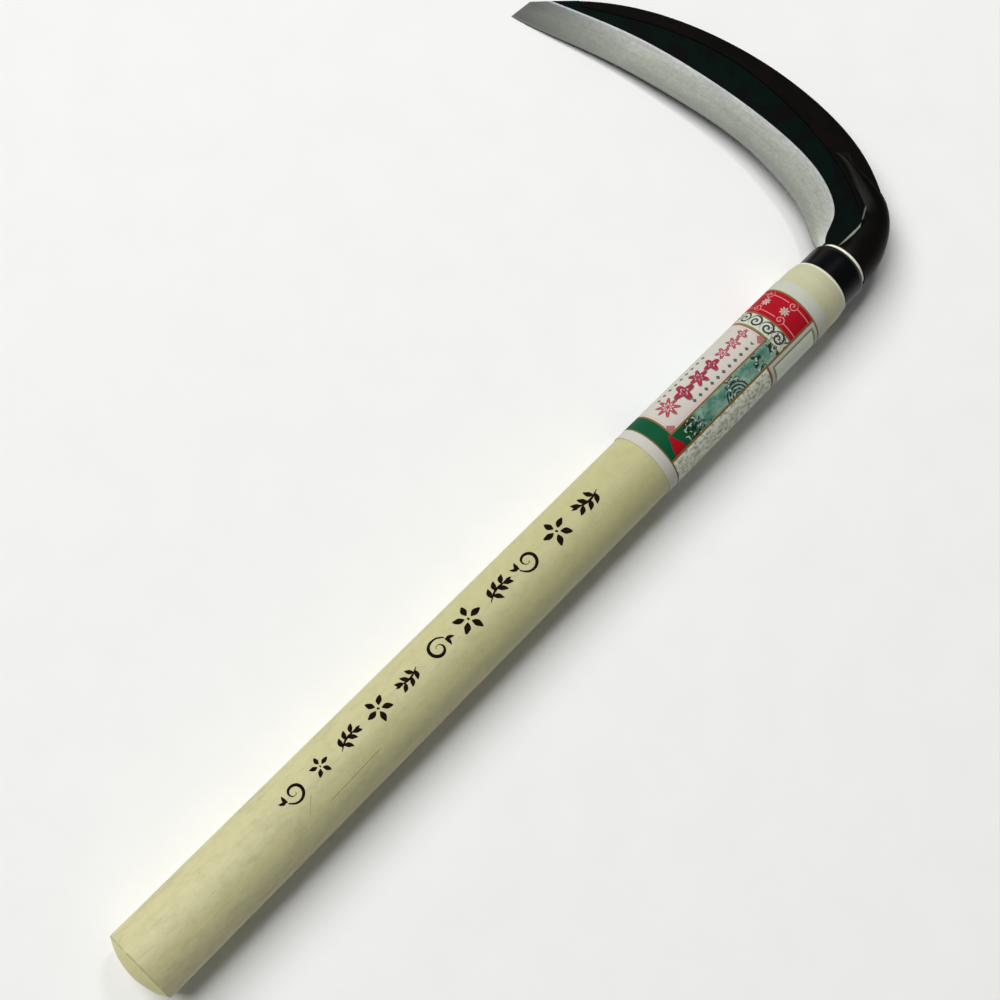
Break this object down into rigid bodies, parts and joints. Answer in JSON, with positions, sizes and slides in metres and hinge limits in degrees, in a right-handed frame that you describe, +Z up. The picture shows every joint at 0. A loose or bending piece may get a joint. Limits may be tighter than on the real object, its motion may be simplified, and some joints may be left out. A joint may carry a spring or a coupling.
{
  "type": "hand sickle",
  "caption": "Hand sickle with a straight tapered wooden handle, printed paper wrapper, black ferrule and a thin crescent blade set in a folded metal back, lying on its side.",
  "frame": {"origin": "centre of the bounding box, at the level of the surface the tool lies on", "axes": "+X along the handle from butt to head, +Y the way the blade reaches, +Z up through the ground side of the blade"},
  "size_m": [0.4714, 0.1993, 0.0326],
  "materials": {
    "handle": "smooth pale unvarnished wood",
    "paper_label": "printed paper",
    "ferrule": "gloss black",
    "collar_ring": "satin cream",
    "blade_plate": "ground face, black behind the ridge",
    "back_metal": "gloss brown-black"
  },
  "bodies": {
    "root": {"handle": "handle", "paper_label": "paper_label", "ferrule": "ferrule", "collar_ring": "collar_ring", "blade_plate": "blade_plate", "back_metal": "back_metal"}
  },
  "joints": []
}
